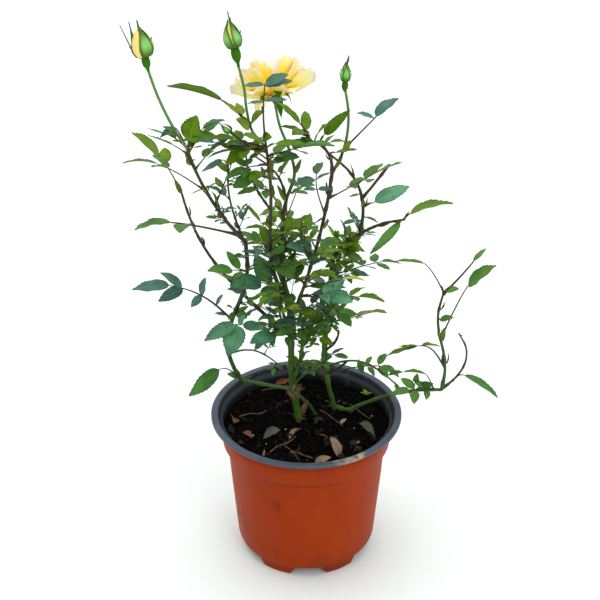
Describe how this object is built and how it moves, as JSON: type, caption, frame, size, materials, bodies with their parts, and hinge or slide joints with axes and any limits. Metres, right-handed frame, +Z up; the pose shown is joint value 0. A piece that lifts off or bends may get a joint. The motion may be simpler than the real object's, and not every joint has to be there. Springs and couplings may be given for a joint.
{
  "type": "potted miniature rose bush",
  "caption": "Miniature rose bush with thin canes, open leaf sprays, closed buds and a pale yellow bloom, in a round tapered nursery pot with a notched foot.",
  "frame": {"origin": "the floor plane under the centre of the pot, on the underside of the pot's base disc", "axes": "+Z up along the pot's axis, -Y towards the front of the plant, +X to its right"},
  "size_m": [0.2649, 0.1517, 0.4254],
  "materials": {
    "pot_outside": "terracotta-coloured thin plastic, satin, faintly scuffed",
    "potting_mix": "moist dark peat and bark with white grains and fallen leaves",
    "cane": "green to dark reddish-brown rose cane, semi-smooth",
    "flower_stalk": "light green flower stalk, smooth",
    "leaf": "blue-green to yellow-green leaves, soft sheen",
    "bud": "light green sepals with a yellow petal edge",
    "petal": "pale yellow petals with a pink edge, soft"
  },
  "bodies": {
    "root": {"arch_tip_spray": "leaf", "back_spray": "leaf", "bloom": "petal", "bloom_leaf": "leaf", "bloom_stalk": "flower_stalk", "centre_cane": "cane", "centre_leaf": "leaf", "cut_stub": "cane", "far_right_leaf": "leaf", "fork_cane": "cane", "fork_reach_leaf": "leaf", "front_left_spray": "leaf", "front_mid_spray": "leaf", "hanging_leaf": "leaf", "heart_clump": "leaf", "high_right_leaf": "leaf", "inner_shoot": "cane", "left_arch": "cane", "left_bud": "bud", "left_bud_cane": "cane", "left_bud_stalk": "flower_stalk", "left_crown_leaf": "leaf", "left_inner_leaf": "leaf", "left_reach_leaf": "leaf", "left_top_leaf": "leaf", "long_left_leaf": "leaf", "low_left_cane": "cane", "low_left_leaf": "leaf", "low_left_riser": "cane", "low_left_spray": "leaf", "low_right_cane": "cane", "low_right_hook": "cane", "low_right_riser": "cane", "low_tip_leaf": "leaf", "lower_clump": "leaf", "main_cane": "cane", "mid_bud": "bud", "mid_bud_stalk": "flower_stalk", "pot": "pot_outside", "right_arch": "cane", "right_back_spray": "leaf", "right_bud": "bud", "right_bud_stalk": "flower_stalk", "right_cane": "cane", "right_clump": "leaf", "right_front_spray": "leaf", "right_low_spray": "leaf", "right_reach": "cane", "right_top_leaf": "leaf", "rim_leaf": "leaf", "riser_front_leaf": "leaf", "riser_low_leaf": "leaf", "riser_top_leaf": "leaf", "side_root": "cane", "soil": "potting_mix", "straight_cane": "cane", "stub_leaf": "leaf", "top_arch": "cane", "top_left_fan": "leaf", "top_right_fan": "leaf"}
  },
  "joints": []
}
